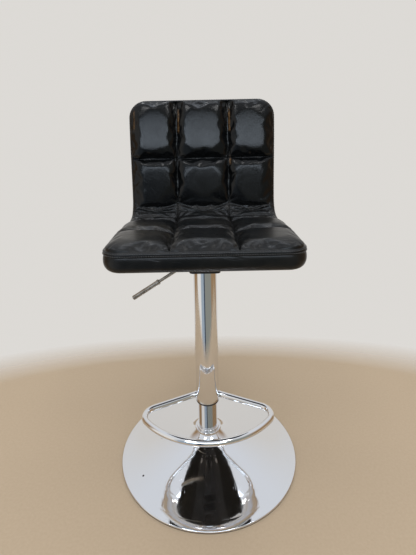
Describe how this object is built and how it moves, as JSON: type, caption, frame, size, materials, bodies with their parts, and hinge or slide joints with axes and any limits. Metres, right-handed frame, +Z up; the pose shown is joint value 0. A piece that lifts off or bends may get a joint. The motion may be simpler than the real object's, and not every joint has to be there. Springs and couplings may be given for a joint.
{
  "type": "swivel bar stool",
  "caption": "Adjustable swivel stool for salon work: quilted seat with a low back on a chrome gas-lift column, with footrest loop, trumpet base and release lever.",
  "frame": {"origin": "on the column's axis, at floor level under the base", "axes": "+Z up along the column, the sitter faces -Y, the release lever points to -X"},
  "size_m": [0.46, 0.4743, 0.9422],
  "materials": {
    "chrome": "mirror chrome plating on steel",
    "bare_steel": "plain zinc-plated steel, inside the stool",
    "black_steel": "satin black powder coat on steel",
    "bearing_steel": "ground and hardened steel",
    "black_plastic": "moulded black plastic, low sheen",
    "white_nylon": "natural nylon",
    "black_rubber": "black rubber",
    "black_leatherette": "glossy black synthetic leather with fine grain",
    "foam": "cut polyurethane foam",
    "plywood": "bent birch plywood, unvarnished"
  },
  "bodies": {
    "base": {"base_shell": "chrome", "rim_gasket": "black_rubber", "base_collar": "chrome", "neck_socket": "bare_steel", "base_stiffener": "bare_steel", "column_tube": "chrome", "tube_end_plate": "bare_steel", "bearing_race_lower": "bearing_steel", "column_bush": "black_plastic"},
    "piston": {"bearing_race_upper": "bearing_steel", "bearing_cage": "white_nylon", "bearing_balls": "bearing_steel", "piston_rod": "bearing_steel", "piston": "black_plastic", "rod_washer": "bare_steel", "rod_clip": "bare_steel", "rod_bumper": "black_rubber"},
    "seat": {"gas_cylinder": "black_steel", "cylinder_guide": "black_plastic", "valve_block": "bare_steel", "cover_sleeve": "chrome", "sleeve_bush": "black_plastic", "sleeve_cap": "black_plastic", "footrest": "chrome", "footrest_welds": "chrome", "taper_hub": "black_steel", "mechanism_housing": "black_steel", "seat_plate": "black_steel", "lever_bracket": "black_steel", "lever_pivot_pin": "bare_steel", "plate_bolts": "bare_steel", "plate_washers": "bare_steel", "tee_nuts": "bare_steel", "seat_shell": "plywood", "seat_foam": "foam", "quilted_cover": "black_leatherette", "rear_cover": "black_leatherette"},
    "lever": {"lever_rod": "chrome", "lever_grip": "chrome"},
    "pin": {"release_pin": "bearing_steel"}
  },
  "joints": [
    {"name": "seat_swivel", "type": "hinge", "parent": "base", "child": "piston", "pos_m": [0, 0, 0.02], "axis": [0, 0, 1], "continuous": true},
    {"name": "seat_height", "type": "slide", "parent": "piston", "child": "seat", "axis": [0, 0, 1], "range_m": [0, 0.2]},
    {"name": "release_lever", "type": "hinge", "parent": "seat", "child": "lever", "pos_m": [-0.027, 0, 0.54136], "axis": [0, 1, 0], "range_deg": [0, 6], "stiffness_Nm_per_rad": 2, "springref_deg": -2.86},
    {"name": "pin_press", "type": "slide", "parent": "seat", "child": "pin", "axis": [0, 0, -1], "range_m": [0, 0.0031]}
  ],
  "couplings": [
    {"joint": "pin_press", "follows": "release_lever", "m_per_rad": 0.029}
  ]
}
